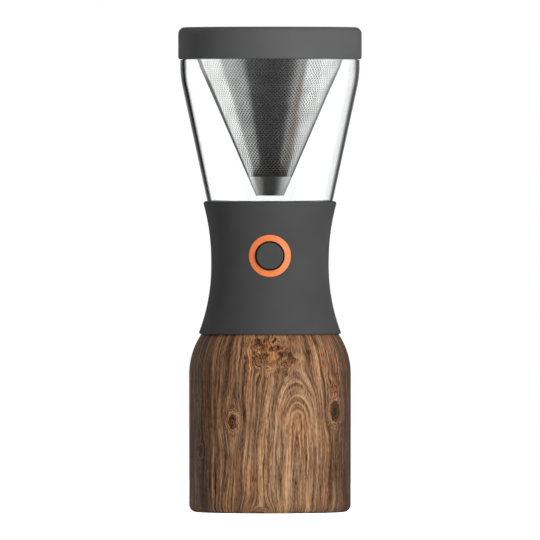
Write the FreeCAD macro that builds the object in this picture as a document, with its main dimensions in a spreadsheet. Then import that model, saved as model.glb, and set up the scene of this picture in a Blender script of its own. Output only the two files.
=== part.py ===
import FreeCAD, Part
import math
import os
import re
import Sketcher

# Cold brew coffee tower: a clear brewing chamber with a hanging cone filter, on a waisted collar
# whose push button opens the drain valve, on a wood-grained vacuum carafe.
#
# Millimetres. +Z is up, the button faces -Y, and the origin is the middle of the face it stands on.
# Each piece is an object of one parametric document, and its sizes are bound to the sheet "dims".

Vector = FreeCAD.Vector
doc = FreeCAD.newDocument("coffee_tower")

# Driving dimensions

SIZES = {
    # allowances: how far a blank runs past the face it is cut to, how far a cut starts ahead of its
    # material, how far a feature runs into the one it joins, and how far a press fit is eased
    "blank_over": 3.0,
    "cut_ahead": 1.0,
    "weld": 0.5,
    "press_fit": 0.05,
    # carafe, a steel vacuum bottle of one litre
    "carafe_radius": 55.0,
    "base_corner": 5.0,
    "base_rim_radius": 46.0,
    "base_recess": 2.4,
    "steel_wall": 0.8,
    "vacuum_gap": 2.7,
    "shoulder_start": 94.0,
    "shoulder_arc": 48.0,
    "neck_radius": 36.0,
    "neck_arc": 5.0,
    "neck_gap": 0.5,
    "mouth_height": 148.8,
    "liner_floor": 9.0,
    "liner_corner": 12.0,
    "seal_dimple": 4.0,
    "getter_radius": 6.0,
    "getter_depth": 2.2,
    # collar, the waisted housing between carafe and chamber
    "collar_bottom": 121.1,
    "collar_top": 211.4,
    "collar_lip": 47.2,
    "collar_bevel": 123.3,
    "collar_bevel_radius": 45.6,
    "waist_radius": 40.0,
    "waist_low": 167.0,
    "waist_high": 171.0,
    "flare_low": 125.0,
    "flare_high": 146.0,
    "flare_inside": 110.0,
    "collar_wall": 2.4,
    "collar_edge_low": 1.0,
    "collar_edge_high": 1.6,
    "collar_mouth": 43.05,
    "sleeve_back": 32.0,
    "sleeve_wall": 2.0,
    "ledge_radius": 39.3,
    "deck_bottom": 189.5,
    "deck_top": 192.0,
    "deck_hole": 14.0,
    "deck_radius": 38.8,
    "deck_fit": 0.1,
    # adapter, the plug that stands in the carafe's mouth
    "plate_bottom": 149.0,
    "plate_top": 152.0,
    "plate_radius": 39.1,
    "plate_hole": 7.7,
    "plug_radius": 33.2,
    "plug_wall": 2.2,
    "plug_bottom": 135.5,
    "plug_chamfer": 0.8,
    "groove_bottom": 139.0,
    "groove_top": 143.0,
    "groove_depth": 1.0,
    "gasket_lip": 0.35,
    "lip_root": 0.1,
    "rib_height": 4.0,
    "rib_width": 1.8,
    "rib_start": 15.8,
    "vent_radius": 1.6,
    "vent_circle": 24.0,
    # brewing chamber, clear moulding
    "chamber_floor": 193.5,
    "chamber_wall": 3.07,
    "floor_wall": 3.3,
    "chamber_fit": 0.25,
    "chamber_low": 202.0,
    "chamber_low_radius": 40.63,
    "chamber_break": 289.0,
    "chamber_break_radius": 59.42,
    "chamber_top_radius": 61.0,
    "mouth_radius": 57.6,
    "ledge_height": 307.5,
    "chamber_rim_radius": 59.6,
    "chamber_rim": 320.1,
    "outlet_radius": 13.0,
    "outlet_bore": 9.0,
    "seat_bore": 10.0,
    "outlet_bottom": 183.5,
    "seat_shelf": 186.0,
    "sump_drop": 1.0,
    "floor_gasket_in": 17.0,
    "floor_gasket_out": 27.0,
    # drain valve
    "housing_bore": 10.0,
    "housing_wall": 2.5,
    "socket_radius": 13.2,
    "neck_seal_in": 10.4,
    "neck_seal_out": 12.4,
    "socket_floor": 181.8,
    "union_radius": 16.0,
    "union_start": 177.3,
    "union_full": 180.8,
    "flange_radius": 18.5,
    "flange_height": 3.0,
    "spout_bore": 5.0,
    "spout_radius": 7.5,
    "spout_bottom": 137.0,
    "funnel_top": 162.0,
    "funnel_shoulder": 160.0,
    "funnel_bottom": 155.0,
    "nut_flats": 13.0,
    "nut_height": 3.2,
    "nut_fit": 0.1,
    "seat_top": 193.5,
    "seat_opening": 6.3,
    "seat_chamfer": 0.5,
    "throat_bottom": 191.5,
    "flare_bottom": 190.0,
    "seat_wall": 1.7,
    "hub_radius": 4.2,
    "hub_bottom": 190.0,
    "hub_height": 2.5,
    "stem_fit": 0.08,
    "arm_width": 1.6,
    "arm_height": 2.0,
    "stem_radius": 2.4,
    "stem_bottom": 177.9,
    "head_radius": 8.3,
    "head_bottom": 195.0,
    "head_edge": 0.8,
    "head_dome": 3.2,
    "head_slope": 3.4,
    "seal_thick": 1.4,
    "seal_radius": 8.9,
    "follower_radius": 4.0,
    "follower_top": 182.0,
    "ramp_gap": 0.14,
    "valve_coil": 3.3,
    "valve_wire": 0.6,
    # push button
    "button_height": 174.5,
    "ring_radius": 14.2,
    "ring_hole": 10.1,
    "ring_proud": 0.3,
    "ring_back": 33.6,
    "ring_fit": 0.1,
    "button_radius": 9.45,
    "button_front": 42.0,
    "button_wall": 1.6,
    "button_edge": 0.8,
    "button_back": 31.9,
    "button_flange": 10.9,
    "button_flange_front": 33.4,
    "boss_radius": 5.7,
    "boss_back": 36.5,
    "rod_radius": 4.0,
    "rod_front": 38.0,
    "button_coil": 6.8,
    "button_wire": 0.7,
    "port_radius": 7.5,
    "port_front": 24.0,
    "port_bore": 4.3,
    "port_recess": 3.0,
    "port_recess_radius": 5.9,
    "port_cap_front": 26.0,
    "port_cap_radius": 9.2,
    "port_cap_bore": 7.6,
    "port_cap_hole": 4.4,
    "port_cap_back": 18.0,
    # filter
    "tip_bottom": 215.4,
    "cone_radius": 49.8,
    "cone_slope": 0.4364,
    "mesh_bottom": 228.2,
    "cone_top": 320.2,
    "cone_wall": 0.655,
    "tip_sleeve": 2.7,
    "tip_floor": 0.8,
    "filter_lip_radius": 57.3,
    "filter_lip_wall": 0.7,
    "filter_lip_bottom": 314.5,
    "filter_flange_radius": 59.2,
    "filter_flange_in": 53.8,
    "filter_flange_top": 323.2,
    # lid
    "lid_radius": 62.4,
    "lid_bottom": 307.9,
    "total_height": 329.7,
    "lid_wall": 2.4,
    "lid_plate": 2.5,
    "lid_corner": 4.5,
    "lid_edge": 1.5,
    "lid_rib_radius": 52.0,
    "lid_rib_wall": 1.4,
    "lid_rib_bottom": 322.5,
    "lid_seal_bottom": 323.4,
    "lid_seal_fit": 0.1,
    "lid_seal_groove": 1.2,
    "lid_seal_lip": 1.0,
}

dims = doc.addObject("Spreadsheet::Sheet", "dims")
for row, (alias, size) in enumerate(SIZES.items(), start=1):
    dims.set(f"A{row}", alias)
    dims.set(f"B{row}", str(size))
    dims.setAlias(f"B{row}", alias)
doc.recompute()


def bound(text):
    """The same expression with each size named as a cell of the sheet."""
    return re.sub(r"\b[a-z]\w*\b(?!\()", r"dims.\g<0>", text)


def value(text):
    """What an expression of sizes comes to now."""
    return float(dims.evalExpression(text))


# Sketches: an outline is a ring of corners


class Corner:
    """One corner. A coordinate is an expression of sizes, or a number where the solver finds it.
    The edge that leaves it is a line, or an arc of the radius `arc`, which may be such a number too.
    `turn` is +1 for an arc that turns left on its way round and -1 for one that turns right.
    A corner with `smooth` joins its two edges in tangency."""

    def __init__(self, x, y, arc=None, turn=1, smooth=False):
        self.x, self.y, self.arc, self.turn, self.smooth = x, y, arc, turn, smooth

    def point(self):
        return Vector(*(value(c) if isinstance(c, str) else c for c in (self.x, self.y)), 0)


def arc_between(start, end, radius, turn):
    """The shorter arc from start to end."""
    chord = end - start
    radius = max(radius, chord.Length / 2 * 1.0001)
    left = Vector(-chord.y, chord.x, 0).normalize()
    rise = math.sqrt(radius**2 - (chord.Length / 2) ** 2)
    middle = (start + end) / 2 - left * turn * (radius - rise)
    return Part.Arc(start, middle, end)


def new_sketch(owner, name, role="XZ_Plane", ahead=None):
    """A sketch on one of the body's own origin planes, or `ahead` of it along its normal."""
    sketch = owner.newObject("Sketcher::SketchObject", name)
    plane = next(f for f in owner.Origin.OriginFeatures if f.Role == role)
    sketch.AttachmentSupport = [(plane, "")]
    sketch.MapMode = "FlatFace"
    if ahead:
        sketch.setExpression("AttachmentOffset.Base.z", bound(ahead))
    return sketch


def limit(sketch, kind, *where, size):
    """Adds a dimension that follows an expression of sizes."""
    number = sketch.addConstraint(Sketcher.Constraint(kind, *where, value(size)))
    sketch.setExpression(f"Constraints[{number}]", bound(size))


def draw_ring(sketch, corners):
    """Draws a closed outline through the corners and ties it down."""
    points = [c.point() for c in corners]
    edges = []
    for i, corner in enumerate(corners):
        start, end = points[i], points[(i + 1) % len(points)]
        if corner.arc is None:
            edges.append((sketch.addGeometry(Part.LineSegment(start, end), False), 1, 2))
            continue
        radius = value(corner.arc) if isinstance(corner.arc, str) else corner.arc
        arc = sketch.addGeometry(arc_between(start, end, radius, corner.turn), False)
        forward = (sketch.getPoint(arc, 1) - start).Length < (sketch.getPoint(arc, 2) - start).Length
        edges.append((arc, 1, 2) if forward else (arc, 2, 1))
    for i, corner in enumerate(corners):
        edge, first, _ = edges[i]
        before, _, last = edges[i - 1]
        sketch.addConstraint(
            Sketcher.Constraint("Tangent" if corner.smooth else "Coincident", before, last, edge, first)
        )
    for i, corner in enumerate(corners):
        edge, first, _ = edges[i]
        if corner.x == "0":
            sketch.addConstraint(Sketcher.Constraint("PointOnObject", edge, first, -2))
        elif isinstance(corner.x, str):
            limit(sketch, "DistanceX", -1, 1, edge, first, size=corner.x)
        if corner.y == "0":
            sketch.addConstraint(Sketcher.Constraint("PointOnObject", edge, first, -1))
        elif isinstance(corner.y, str):
            limit(sketch, "DistanceY", -1, 1, edge, first, size=corner.y)
        if isinstance(corner.arc, str):
            limit(sketch, "Radius", edge, size=corner.arc)


def draw_circle(sketch, radius, x="0", y="0"):
    """Draws a circle whose radius and centre are expressions of sizes."""
    centre = Vector(value(x), value(y), 0)
    circle = sketch.addGeometry(Part.Circle(centre, Vector(0, 0, 1), value(radius)), False)
    limit(sketch, "Radius", circle, size=radius)
    limit(sketch, "DistanceX", -1, 1, circle, 3, size=x)
    limit(sketch, "DistanceY", -1, 1, circle, 3, size=y)


# Bodies and their features


def new_body(label):
    body = doc.addObject("PartDesign::Body", label)
    body.Label = label
    return body


def turn(body, name, corners, cut=False):
    """Turns an outline of (radius, height) round the body's own Z, to add it or cut it away."""
    sketch = new_sketch(body, name + "_outline")
    draw_ring(sketch, corners)
    feature = body.newObject("PartDesign::Groove" if cut else "PartDesign::Revolution", name)
    feature.Profile = sketch
    feature.ReferenceAxis = (sketch, ["V_Axis"])
    feature.Angle = 360
    doc.recompute()
    return feature


def turned(label, corners):
    """A body that is one turned piece."""
    body = new_body(label)
    turn(body, label + "_turned", corners)
    return body


def ring(label, inside, outside, bottom, top):
    """A plain flat ring."""
    return turned(
        label,
        [Corner(inside, bottom), Corner(outside, bottom), Corner(outside, top), Corner(inside, top)],
    )


def raise_from(body, name, sketch, length, cut=False, both_ways=False, backwards=False):
    """Pads a sketch, or pockets it."""
    feature = body.newObject("PartDesign::Pocket" if cut else "PartDesign::Pad", name)
    feature.Profile = sketch
    feature.setExpression("Length", bound(length))
    feature.Midplane = both_ways
    feature.Reversed = backwards
    doc.recompute()
    return feature


def removes(body, before, name):
    """Stops the build where a cut took nothing away."""
    doc.recompute()
    if body.Shape.Volume >= before - 1e-3:
        raise ValueError(f"{name} cuts nothing")


def round_edge(body, feature, name, radius, level):
    """Fillets the widest circle of a feature at a height."""
    rings = []
    for number, edge in enumerate(feature.Shape.Edges, start=1):
        box = edge.BoundBox
        if abs(box.ZMin - value(level)) + abs(box.ZMax - value(level)) < 1e-3:
            rings.append((box.XMax, f"Edge{number}"))
    fillet = body.newObject("PartDesign::Fillet", name)
    fillet.Base = (feature, [max(rings)[1]])
    fillet.setExpression("Radius", bound(radius))
    doc.recompute()
    return fillet


def repeat(body, feature, name, count):
    """Repeats a feature evenly round the body's own Z."""
    pattern = body.newObject("PartDesign::PolarPattern", name)
    pattern.Originals = [feature]
    pattern.Axis = (next(f for f in body.Origin.OriginFeatures if f.Role == "Z_Axis"), [""])
    pattern.Angle = 360
    pattern.Occurrences = count
    body.Tip = pattern
    doc.recompute()
    return pattern


def on_button_axis(piece):
    """Lays a piece on the button's axis: its own Z then points out of the front, along -Y."""
    piece.Placement = FreeCAD.Placement(Vector(0, 0, 0), FreeCAD.Rotation(Vector(1, 0, 0), 90))
    piece.setExpression("Placement.Base.z", bound("button_height"))
    doc.recompute()
    return piece


def spring(label, radius, wire, bottom, top, coils, sides=12):
    """A compression spring of square wire, in straight runs, ground flat at both ends."""
    radius, wire, bottom, top = (value(size) for size in (radius, wire, bottom, top))
    steps = coils * sides
    half = wire / 2
    rise = (top - bottom - wire) / steps
    sections = []
    for step in range(steps + 1):
        turned_by = 2 * math.pi * step / sides
        out = Vector(math.cos(turned_by), math.sin(turned_by), 0)
        middle = out * radius + Vector(0, 0, bottom + half + rise * step)
        offsets = [(-half, -half), (half, -half), (half, half), (-half, half)]
        corners = [middle + out * a + Vector(0, 0, b) for a, b in offsets]
        sections.append(Part.makePolygon(corners + corners[:1]))
    piece = doc.addObject("Part::Feature", label)
    piece.Shape = Part.makeLoft(sections, True, True)
    piece.Label = label
    piece.Placement = FreeCAD.Placement()
    return piece


# Carafe: two steel shells with a vacuum between them


def carafe_wall(label, inset, floor, corner, neck_inset, top, floor_open):
    """One steel shell. `inset` is how far its outside lies within the carafe's outline."""
    out = f"carafe_radius - {inset}"
    neck = f"neck_radius - {neck_inset}"
    shoulder = f"shoulder_arc - {inset}"
    hollow = f"neck_arc + {neck_inset}"
    start = "base_rim_radius" if floor_open else "0"
    corner_end = value(f"{out} - {corner}")
    corner_top = value(f"{floor} + {corner}")
    return turned(
        label,
        [
            Corner(start, floor),
            Corner(corner_end, floor, corner, smooth=True),
            Corner(out, corner_top, smooth=True),
            Corner(out, "shoulder_start", shoulder, smooth=True),
            Corner(37.6, 131.6, hollow, turn=-1, smooth=True),
            Corner(neck, 135.6, smooth=True),
            *top,
            Corner(f"{neck} - steel_wall", 135.6, f"{hollow} + steel_wall", turn=1, smooth=True),
            Corner(37.0, 131.0, f"{shoulder} - steel_wall", turn=-1, smooth=True),
            Corner(f"{out} - steel_wall", "shoulder_start", smooth=True),
            Corner(f"{out} - steel_wall", corner_top, f"{corner} - steel_wall", turn=-1, smooth=True),
            Corner(corner_end, f"{floor} + steel_wall", smooth=True),
            Corner(start, f"{floor} + steel_wall"),
        ],
    )


outer_top = [
    Corner("neck_radius", "mouth_height"),
    Corner("neck_radius - steel_wall", "mouth_height"),
]
carafe_outer_shell = carafe_wall("carafe_outer_shell", "0", "0", "base_corner", "0", outer_top, True)

# the liner's lip turns out over the gap and is welded to the outer shell
liner_neck = "(steel_wall + neck_gap)"
liner_top = [
    Corner(f"neck_radius - {liner_neck}", "mouth_height - steel_wall"),
    Corner("neck_radius - steel_wall", "mouth_height - steel_wall"),
    Corner("neck_radius - steel_wall", "mouth_height"),
    Corner(f"neck_radius - {liner_neck} - steel_wall", "mouth_height"),
]
carafe_inner_liner = carafe_wall(
    "carafe_inner_liner",
    "(steel_wall + vacuum_gap)",
    "liner_floor",
    "liner_corner",
    liner_neck,
    liner_top,
    False,
)

# a shallow pan welded into the rim, with the dimple where the vacuum was sealed
carafe_base_plate = turned(
    "carafe_base_plate",
    [
        Corner("base_rim_radius - steel_wall", "steel_wall / 4"),
        Corner("base_rim_radius", "steel_wall / 4"),
        Corner("base_rim_radius", "base_recess + steel_wall"),
        Corner("seal_dimple", "base_recess + steel_wall"),
        Corner("seal_dimple - steel_wall", "base_recess + 2 * steel_wall"),
        Corner("0", "base_recess + 2 * steel_wall"),
        Corner("0", "base_recess + steel_wall"),
        Corner("seal_dimple - steel_wall", "base_recess + steel_wall"),
        Corner("seal_dimple", "base_recess"),
        Corner("base_rim_radius - steel_wall", "base_recess"),
    ],
)

# the getter that keeps the vacuum, tacked under the liner's floor
getter_capsule = doc.addObject("Part::Cylinder", "getter_capsule")
getter_capsule.setExpression("Radius", bound("getter_radius"))
getter_capsule.setExpression("Height", bound("getter_depth"))
getter_capsule.setExpression("Placement.Base.z", bound("liner_floor - getter_depth"))

# Collar: a waisted moulding, and the deck inside it


def waist(offset, bottom, top):
    """The collar's hollow outer curve, from bottom to top, `offset` outside it."""
    return [
        Corner(48.8, bottom, f"flare_low - {offset}", turn=-1),
        Corner(f"waist_radius + {offset}", "waist_low", smooth=True),
        Corner(f"waist_radius + {offset}", "waist_high", f"flare_high - {offset}", turn=-1, smooth=True),
        Corner(45.5, top),
    ]


collar_shell = new_body("collar_shell")

# the sleeve that holds the accent ring, cut off at the middle of the wall it grows from
sleeve = new_sketch(collar_shell, "sleeve_outline", ahead="sleeve_back")
draw_circle(sleeve, "ring_radius + ring_fit + sleeve_wall", y="button_height")
raise_from(collar_shell, "sleeve", sleeve, "waist_radius - sleeve_back + blank_over")
turn(
    collar_shell,
    "sleeve_front",
    [
        *waist("(-collar_wall / 2)", "collar_bottom", "collar_top"),
        Corner("carafe_radius", "collar_top"),
        Corner("carafe_radius", "collar_bottom"),
    ],
    cut=True,
)
turn(
    collar_shell,
    "sleeve_cleared_for_deck",
    [
        Corner("0", "deck_bottom"),
        Corner("deck_radius", "deck_bottom"),
        Corner("deck_radius", "deck_top"),
        Corner("0", "deck_top"),
    ],
    cut=True,
)
collar_turned = turn(
    collar_shell,
    "collar_turned",
    [
        Corner("collar_lip", "collar_bottom"),
        *waist("0", "collar_bottom", "collar_top"),
        Corner("collar_mouth", "collar_top"),
        Corner("chamber_low_radius + chamber_fit", "chamber_low"),
        Corner("deck_radius", "deck_top"),
        Corner("deck_radius", "deck_bottom"),
        Corner("waist_radius - collar_wall", "deck_bottom"),
        Corner("waist_radius - collar_wall", "plate_top"),
        Corner("ledge_radius", "plate_top", "flare_inside", turn=1),
        Corner("collar_bevel_radius", "collar_bevel"),
    ],
)
before = collar_shell.Shape.Volume
ring_seat = new_sketch(collar_shell, "ring_seat_outline", ahead="sleeve_back - cut_ahead")
draw_circle(ring_seat, "ring_radius + ring_fit", y="button_height")
seat_reach = "waist_radius - sleeve_back + 2 * blank_over"
ring_seat_cut = raise_from(collar_shell, "ring_seat", ring_seat, seat_reach, cut=True, backwards=True)
removes(collar_shell, before, "ring_seat")
collar_low = round_edge(collar_shell, ring_seat_cut, "collar_low_edge", "collar_edge_low", "collar_bottom")
round_edge(collar_shell, collar_low, "collar_high_edge", "collar_edge_high", "collar_top")

# the deck drops in from above, on a step inside the waist, and carries the chamber
collar_deck = ring("collar_deck", "deck_hole", "deck_radius - deck_fit", "deck_bottom", "deck_top")

# Adapter: the plate the collar stands on, with the plug for the carafe's mouth

carafe_adapter = new_body("carafe_adapter")
turn(
    carafe_adapter,
    "adapter_turned",
    [
        Corner("plate_hole", "plate_bottom"),
        Corner("plug_radius - plug_wall", "plate_bottom"),
        Corner("plug_radius - plug_wall", "plug_bottom"),
        Corner("plug_radius - plug_chamfer", "plug_bottom"),
        Corner("plug_radius", "plug_bottom + plug_chamfer"),
        Corner("plug_radius", "groove_bottom"),
        Corner("plug_radius - groove_depth", "groove_bottom"),
        Corner("plug_radius - groove_depth", "groove_top"),
        Corner("plug_radius", "groove_top"),
        Corner("plug_radius", "plate_bottom"),
        Corner("plate_radius", "plate_bottom"),
        Corner("plate_radius", "plate_top"),
        Corner("plate_hole", "plate_top"),
    ],
)
rib_outline = new_sketch(carafe_adapter, "rib_outline", role="XY_Plane", ahead="plate_bottom - rib_height")
draw_ring(
    rib_outline,
    [
        Corner("rib_start", "-rib_width / 2"),
        Corner("plug_radius - plug_wall + weld", "-rib_width / 2"),
        Corner("plug_radius - plug_wall + weld", "rib_width / 2"),
        Corner("rib_start", "rib_width / 2"),
    ],
)
rib = raise_from(carafe_adapter, "rib", rib_outline, "rib_height + weld")
repeat(carafe_adapter, rib, "ribs", 6)
vent_outline = new_sketch(carafe_adapter, "vent_outline", role="XY_Plane", ahead="plate_top")
draw_circle(vent_outline, "vent_radius", x="0", y="vent_circle")
vent = raise_from(carafe_adapter, "vent", vent_outline, "plate_top - plate_bottom", cut=True)
before = carafe_adapter.Shape.Volume
repeat(carafe_adapter, vent, "vents", 2)
removes(carafe_adapter, before, "vents")

# the gasket in its groove has three lips
lips = []
for lip in range(3):
    level = f"groove_bottom + {lip} * (groove_top - groove_bottom) / 3"
    lips.append(Corner("plug_radius - lip_root", level))
    lips.append(Corner("plug_radius + gasket_lip", f"{level} + (groove_top - groove_bottom) / 6"))
carafe_gasket = turned(
    "carafe_gasket",
    [
        Corner("plug_radius - groove_depth", "groove_bottom"),
        *lips,
        Corner("plug_radius - lip_root", "groove_top"),
        Corner("plug_radius - groove_depth", "groove_top"),
    ],
)

# the nut that holds the adapter to the spout
spout_nut = new_body("spout_nut")
nut_outline = new_sketch(spout_nut, "nut_outline", role="XY_Plane", ahead="plate_bottom - nut_height")
point = "nut_flats / sqrt(3)"
draw_ring(
    nut_outline,
    [
        Corner(f"2 * {point}", "0"),
        Corner(point, "nut_flats"),
        Corner(f"-{point}", "nut_flats"),
        Corner(f"-2 * {point}", "0"),
        Corner(f"-{point}", "-nut_flats"),
        Corner(point, "-nut_flats"),
    ],
)
draw_circle(nut_outline, "spout_radius + nut_fit")
raise_from(spout_nut, "nut", nut_outline, "nut_height")

# Brewing chamber: one clear moulding with its outlet neck

brew_chamber = turned(
    "brew_chamber",
    [
        Corner("outlet_bore", "outlet_bottom"),
        Corner("outlet_radius", "outlet_bottom"),
        Corner("outlet_radius", "chamber_floor"),
        Corner(30.1, "chamber_floor", 10.8, smooth=True),
        Corner("chamber_low_radius", "chamber_low", smooth=True),
        Corner("chamber_break_radius", "chamber_break", 70.2, smooth=True),
        Corner("chamber_top_radius", 303.8, smooth=True),
        Corner("chamber_top_radius", "ledge_height"),
        Corner("chamber_rim_radius", "ledge_height"),
        Corner("chamber_rim_radius", "chamber_rim"),
        Corner("mouth_radius", "chamber_rim"),
        Corner("mouth_radius", 300.7, 55.4, turn=-1, smooth=True),
        Corner("chamber_break_radius - chamber_wall", "chamber_break", smooth=True),
        Corner("chamber_low_radius - chamber_wall", "chamber_low", 7.0, turn=-1, smooth=True),
        Corner(31.0, "chamber_floor + floor_wall", smooth=True),
        Corner("seat_bore", "chamber_floor + floor_wall - sump_drop"),
        Corner("seat_bore", "seat_shelf"),
        Corner("outlet_bore", "seat_shelf"),
    ],
)


chamber_gasket = ring("chamber_gasket", "floor_gasket_in", "floor_gasket_out", "deck_top", "chamber_floor")
neck_seal = ring("neck_seal", "neck_seal_in", "neck_seal_out", "socket_floor", "outlet_bottom")

# Drain valve: the housing screwed to the outlet, with the port the push rod comes in by

valve_housing = new_body("valve_housing")
turn(
    valve_housing,
    "housing_turned",
    [
        Corner("0", "spout_bottom"),
        Corner("spout_radius", "spout_bottom"),
        Corner("spout_radius", "plate_top"),
        Corner("housing_bore", "plate_top"),
        Corner("housing_bore", "funnel_bottom"),
        Corner("housing_bore + housing_wall", "funnel_shoulder"),
        Corner("housing_bore + housing_wall", "union_start"),
        Corner("union_radius", "union_full"),
        Corner("union_radius", "deck_bottom - flange_height"),
        Corner("flange_radius", "deck_bottom - flange_height"),
        Corner("flange_radius", "deck_bottom"),
        Corner("0", "deck_bottom"),
    ],
)
port_outline = new_sketch(valve_housing, "port_outline")
draw_circle(port_outline, "port_radius", y="button_height")
raise_from(valve_housing, "port", port_outline, "port_front")
before = valve_housing.Shape.Volume
turn(
    valve_housing,
    "housing_bored",
    [
        Corner("0", "spout_bottom"),
        Corner("spout_bore", "spout_bottom"),
        Corner("spout_bore", "funnel_bottom"),
        Corner("housing_bore", "funnel_top"),
        Corner("housing_bore", "socket_floor"),
        Corner("socket_radius", "socket_floor"),
        Corner("socket_radius", "deck_bottom"),
        Corner("0", "deck_bottom"),
    ],
    cut=True,
)
removes(valve_housing, before, "housing_bored")
before = valve_housing.Shape.Volume
port_bore = new_sketch(valve_housing, "port_bore_outline")
draw_circle(port_bore, "port_bore", y="button_height")
raise_from(valve_housing, "port_bored", port_bore, "port_front", cut=True, backwards=True)
removes(valve_housing, before, "port_bored")
before = valve_housing.Shape.Volume
port_recess = new_sketch(valve_housing, "port_recess_outline", ahead="port_front")
draw_circle(port_recess, "port_recess_radius", y="button_height")
raise_from(valve_housing, "port_recessed", port_recess, "port_recess", cut=True)
removes(valve_housing, before, "port_recessed")

port_cap = on_button_axis(
    turned(
        "port_cap",
        [
            Corner("port_cap_hole", "port_front"),
            Corner("port_cap_bore", "port_front"),
            Corner("port_cap_bore", "port_cap_back"),
            Corner("port_cap_radius", "port_cap_back"),
            Corner("port_cap_radius", "port_cap_front"),
            Corner("port_cap_hole", "port_cap_front"),
        ],
    )
)
port_seal = on_button_axis(
    ring("port_seal", "rod_radius + stem_fit", "port_recess_radius", "port_front - port_recess", "port_front")
)

# the seat pushed into the outlet: a cup with a guide hub on three arms
valve_seat = new_body("valve_seat")
turn(
    valve_seat,
    "seat_turned",
    [
        Corner("seat_bore - press_fit - seat_wall", "seat_shelf"),
        Corner("seat_bore - press_fit", "seat_shelf"),
        Corner("seat_bore - press_fit", "seat_top"),
        Corner("seat_opening + seat_chamfer", "seat_top"),
        Corner("seat_opening", "seat_top - seat_chamfer"),
        Corner("seat_opening", "throat_bottom"),
        Corner("seat_bore - press_fit - seat_wall", "flare_bottom"),
    ],
)
arm_outline = new_sketch(valve_seat, "arm_outline", role="XY_Plane", ahead="hub_bottom")
draw_ring(
    arm_outline,
    [
        Corner("hub_radius - weld", "-arm_width / 2"),
        Corner("seat_bore - seat_wall / 2", "-arm_width / 2"),
        Corner("seat_bore - seat_wall / 2", "arm_width / 2"),
        Corner("hub_radius - weld", "arm_width / 2"),
    ],
)
arm = raise_from(valve_seat, "arm", arm_outline, "arm_height")
repeat(valve_seat, arm, "arms", 3)
hub_outline = new_sketch(valve_seat, "hub_outline", role="XY_Plane", ahead="hub_bottom")
draw_circle(hub_outline, "hub_radius")
raise_from(valve_seat, "hub", hub_outline, "hub_height")
before = valve_seat.Shape.Volume
hub_bore = new_sketch(valve_seat, "hub_bore_outline", role="XY_Plane", ahead="hub_bottom + hub_height")
draw_circle(hub_bore, "stem_radius + stem_fit")
raise_from(valve_seat, "hub_bored", hub_bore, "hub_height", cut=True)
removes(valve_seat, before, "hub_bored")

valve_stem = turned(
    "valve_stem",
    [
        Corner("0", "stem_bottom"),
        Corner("stem_radius", "stem_bottom"),
        Corner("stem_radius", "head_bottom"),
        Corner("head_radius", "head_bottom"),
        Corner("head_radius", "head_bottom + head_edge"),
        Corner("head_radius - head_slope", "head_bottom + head_dome"),
        Corner("0", "head_bottom + head_dome"),
    ],
)
valve_seal = ring(
    "valve_seal", "stem_radius + press_fit", "seal_radius", "head_bottom - seal_thick", "head_bottom"
)

# the follower's foot and the rod's tip meet on one slope of 45 degrees
valve_follower = new_body("valve_follower")
turn(
    valve_follower,
    "follower_turned",
    [
        Corner("0", "button_height - follower_radius - cut_ahead"),
        Corner("follower_radius", "button_height - follower_radius - cut_ahead"),
        Corner("follower_radius", "follower_top"),
        Corner("stem_radius + press_fit", "follower_top"),
        Corner("stem_radius + press_fit", "stem_bottom"),
        Corner("0", "stem_bottom"),
    ],
)
reach = "(follower_radius + 2 * cut_ahead)"
before = valve_follower.Shape.Volume
foot = new_sketch(valve_follower, "foot_outline", role="YZ_Plane")
draw_ring(
    foot,
    [
        Corner(f"-{reach}", f"button_height + {reach} + ramp_gap"),
        Corner(f"-{reach}", f"button_height - {reach}"),
        Corner(reach, f"button_height - {reach}"),
        Corner(reach, f"button_height - {reach} + ramp_gap"),
    ],
)
raise_from(valve_follower, "foot_cut", foot, f"2 * {reach}", cut=True, both_ways=True)
removes(valve_follower, before, "foot_cut")

valve_spring = spring("valve_spring", "valve_coil", "valve_wire", "follower_top", "hub_bottom", coils=5)

# Push button, on its own axis

push_rod = new_body("push_rod")
turn(
    push_rod,
    "rod_turned",
    [
        Corner("0", "-rod_radius - cut_ahead"),
        Corner("rod_radius", "-rod_radius - cut_ahead"),
        Corner("rod_radius", "rod_front"),
        Corner("0", "rod_front"),
    ],
)
before = push_rod.Shape.Volume
tip = new_sketch(push_rod, "tip_outline", role="YZ_Plane")
draw_ring(tip, [Corner(f"-{reach}", f"-{reach}"), Corner(reach, f"-{reach}"), Corner(reach, reach)])
raise_from(push_rod, "tip_cut", tip, f"2 * {reach}", cut=True, both_ways=True)
removes(push_rod, before, "tip_cut")
on_button_axis(push_rod)

button_cap = on_button_axis(
    turned(
        "button_cap",
        [
            Corner("0", "rod_front"),
            Corner("rod_radius + press_fit", "rod_front"),
            Corner("rod_radius + press_fit", "boss_back"),
            Corner("boss_radius", "boss_back"),
            Corner("boss_radius", "button_front - button_wall"),
            Corner("button_radius - button_wall", "button_front - button_wall"),
            Corner("button_radius - button_wall", "button_back"),
            Corner("button_flange", "button_back"),
            Corner("button_flange", "button_flange_front"),
            Corner("button_radius", "button_flange_front"),
            Corner("button_radius", value("button_front - button_edge"), "button_edge", smooth=True),
            Corner(value("button_radius - button_edge"), "button_front", smooth=True),
            Corner("0", "button_front"),
        ],
    )
)
cap_inside = "button_front - button_wall"
button_spring = on_button_axis(
    spring("button_spring", "button_coil", "button_wire", "port_cap_front", cap_inside, coils=6)
)

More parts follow.
